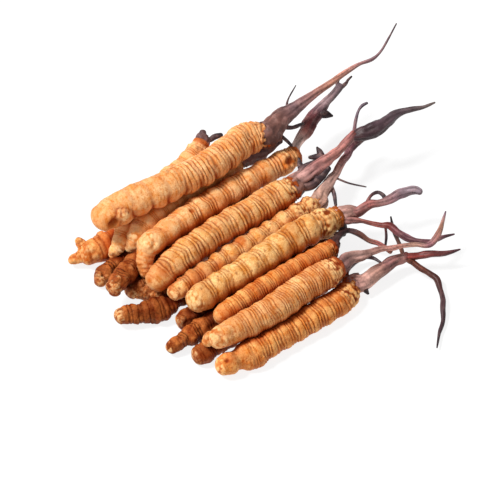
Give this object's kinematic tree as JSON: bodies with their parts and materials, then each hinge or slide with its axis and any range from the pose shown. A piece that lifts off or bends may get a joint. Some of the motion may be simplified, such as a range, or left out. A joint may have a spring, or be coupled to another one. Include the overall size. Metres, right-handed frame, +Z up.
{
  "type": "cordyceps bundle",
  "caption": "Dried cordyceps laid side by side in a small stacked bundle: wrinkled larval bodies with dark, tapering and forking stromata at one end.",
  "frame": {"origin": "on the ground, below the middle of the bundle's bounding box", "axes": "+X along the bodies, from the tails to the heads and stromata; +Y across the bundle to the back; +Z up"},
  "size_m": [0.0968, 0.0802, 0.0235],
  "materials": {
    "dried_skin_orange": "dry, wrinkled, orange-brown skin with dark creases",
    "dried_skin_tan": "dry, wrinkled, yellow-tan skin with dark creases",
    "dried_skin_cream": "dry, pitted, pale yellow skin with dark creases",
    "dried_skin_brown": "dry, wrinkled, mottled brown skin",
    "stroma_purple_brown": "dry, lengthwise wrinkled, purple-brown stalk",
    "stroma_blackish": "dry, lengthwise wrinkled, nearly black stalk",
    "stroma_red_brown": "dry, lengthwise wrinkled, red-brown stalk"
  },
  "bodies": {
    "root": {"larva_01": "dried_skin_orange", "larva_02": "dried_skin_brown", "larva_03": "dried_skin_brown", "larva_04": "dried_skin_brown", "larva_05": "dried_skin_brown", "larva_06": "dried_skin_brown", "larva_07": "dried_skin_brown", "larva_08": "dried_skin_orange", "larva_09": "dried_skin_brown", "larva_10": "dried_skin_orange", "larva_11": "dried_skin_orange", "larva_12": "dried_skin_cream", "larva_13": "dried_skin_tan", "larva_14": "dried_skin_tan", "larva_15": "dried_skin_cream", "larva_16": "dried_skin_tan", "larva_17": "dried_skin_tan", "larva_18": "dried_skin_tan", "stroma_01": "stroma_purple_brown", "stroma_02": "stroma_blackish", "stroma_03": "stroma_purple_brown", "stroma_04": "stroma_purple_brown", "stroma_05": "stroma_purple_brown", "stroma_06": "stroma_purple_brown", "stroma_07": "stroma_purple_brown", "stroma_08": "stroma_purple_brown", "stroma_09": "stroma_purple_brown", "stroma_10": "stroma_purple_brown", "stroma_11": "stroma_blackish", "stroma_12": "stroma_purple_brown", "stroma_13": "stroma_purple_brown", "stroma_14": "stroma_purple_brown", "stroma_15": "stroma_purple_brown", "stroma_16": "stroma_purple_brown", "stroma_17": "stroma_purple_brown", "stroma_18": "stroma_purple_brown", "stroma_01_upper_limb": "stroma_red_brown", "stroma_01_lower_limb": "stroma_blackish", "stroma_01_back_limb": "stroma_blackish", "stroma_12_upper_limb": "stroma_purple_brown", "stroma_12_lower_limb": "stroma_red_brown", "stroma_14_thin_limb": "stroma_purple_brown", "stroma_14_main_limb": "stroma_blackish", "stroma_15_left_limb": "stroma_purple_brown", "stroma_15_right_limb": "stroma_purple_brown"}
  },
  "joints": []
}
